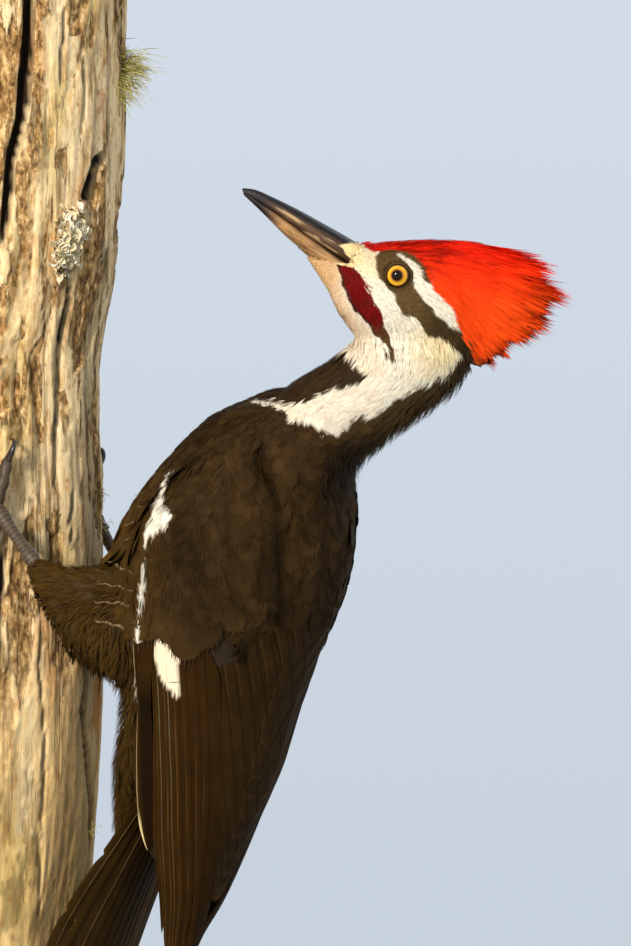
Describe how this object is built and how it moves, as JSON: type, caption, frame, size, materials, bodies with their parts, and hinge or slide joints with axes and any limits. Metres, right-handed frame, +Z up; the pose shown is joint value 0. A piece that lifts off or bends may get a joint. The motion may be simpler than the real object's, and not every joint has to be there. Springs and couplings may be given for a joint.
{
  "type": "pileated woodpecker",
  "caption": "Life-size display model of a pileated woodpecker clinging upright to a cut length of dead trunk, head turned in profile, on a flat wooden base with steel rods.",
  "frame": {"origin": "middle of the underside of the stand's base", "axes": "+Z up along the trunk; the bill points towards -X and up; the bird's left side faces -Y"},
  "size_m": [0.318, 0.19, 0.535],
  "materials": {
    "base_wood": "dark stained and waxed hardwood",
    "rod_steel": "satin brushed steel",
    "dead_wood": "weathered dead wood with patches of bark and lichen",
    "dark_plumage": "soft brown-black feathers",
    "white_plumage": "soft cream-white feathers",
    "red_plumage": "fine bright red crest feathers",
    "upper_bill": "slate-grey horn with scuffs",
    "lower_bill": "pale horn, darker at the tip",
    "eye": "wet eye with a golden iris and a black pupil",
    "leg_scale": "blue-grey scaled skin",
    "claw_horn": "dark polished horn"
  },
  "bodies": {
    "root": {"stand_base": "base_wood", "stand_rod_left": "rod_steel", "stand_rod_right": "rod_steel", "perch_log": "dead_wood", "body": "dark_plumage", "neck": "white_plumage", "head": "white_plumage", "crest": "red_plumage", "bill_upper": "upper_bill", "bill_lower": "lower_bill", "eye_left": "eye", "eye_right": "eye", "tail": "dark_plumage", "wing_left": "dark_plumage", "wing_left_secondaries": "dark_plumage", "wing_left_primaries": "dark_plumage", "thigh_left": "dark_plumage", "tarsus_left": "leg_scale", "toe_inner_left": "leg_scale", "claw_inner_left": "claw_horn", "toe_middle_left": "leg_scale", "claw_middle_left": "claw_horn", "toe_outer_left": "leg_scale", "claw_outer_left": "claw_horn", "toe_hind_left": "leg_scale", "claw_hind_left": "claw_horn", "wing_right": "dark_plumage", "wing_right_secondaries": "dark_plumage", "wing_right_primaries": "dark_plumage", "thigh_right": "dark_plumage", "tarsus_right": "leg_scale", "toe_inner_right": "leg_scale", "claw_inner_right": "claw_horn", "toe_middle_right": "leg_scale", "claw_middle_right": "claw_horn", "toe_outer_right": "leg_scale", "claw_outer_right": "claw_horn", "toe_hind_right": "leg_scale", "claw_hind_right": "claw_horn"}
  },
  "joints": []
}
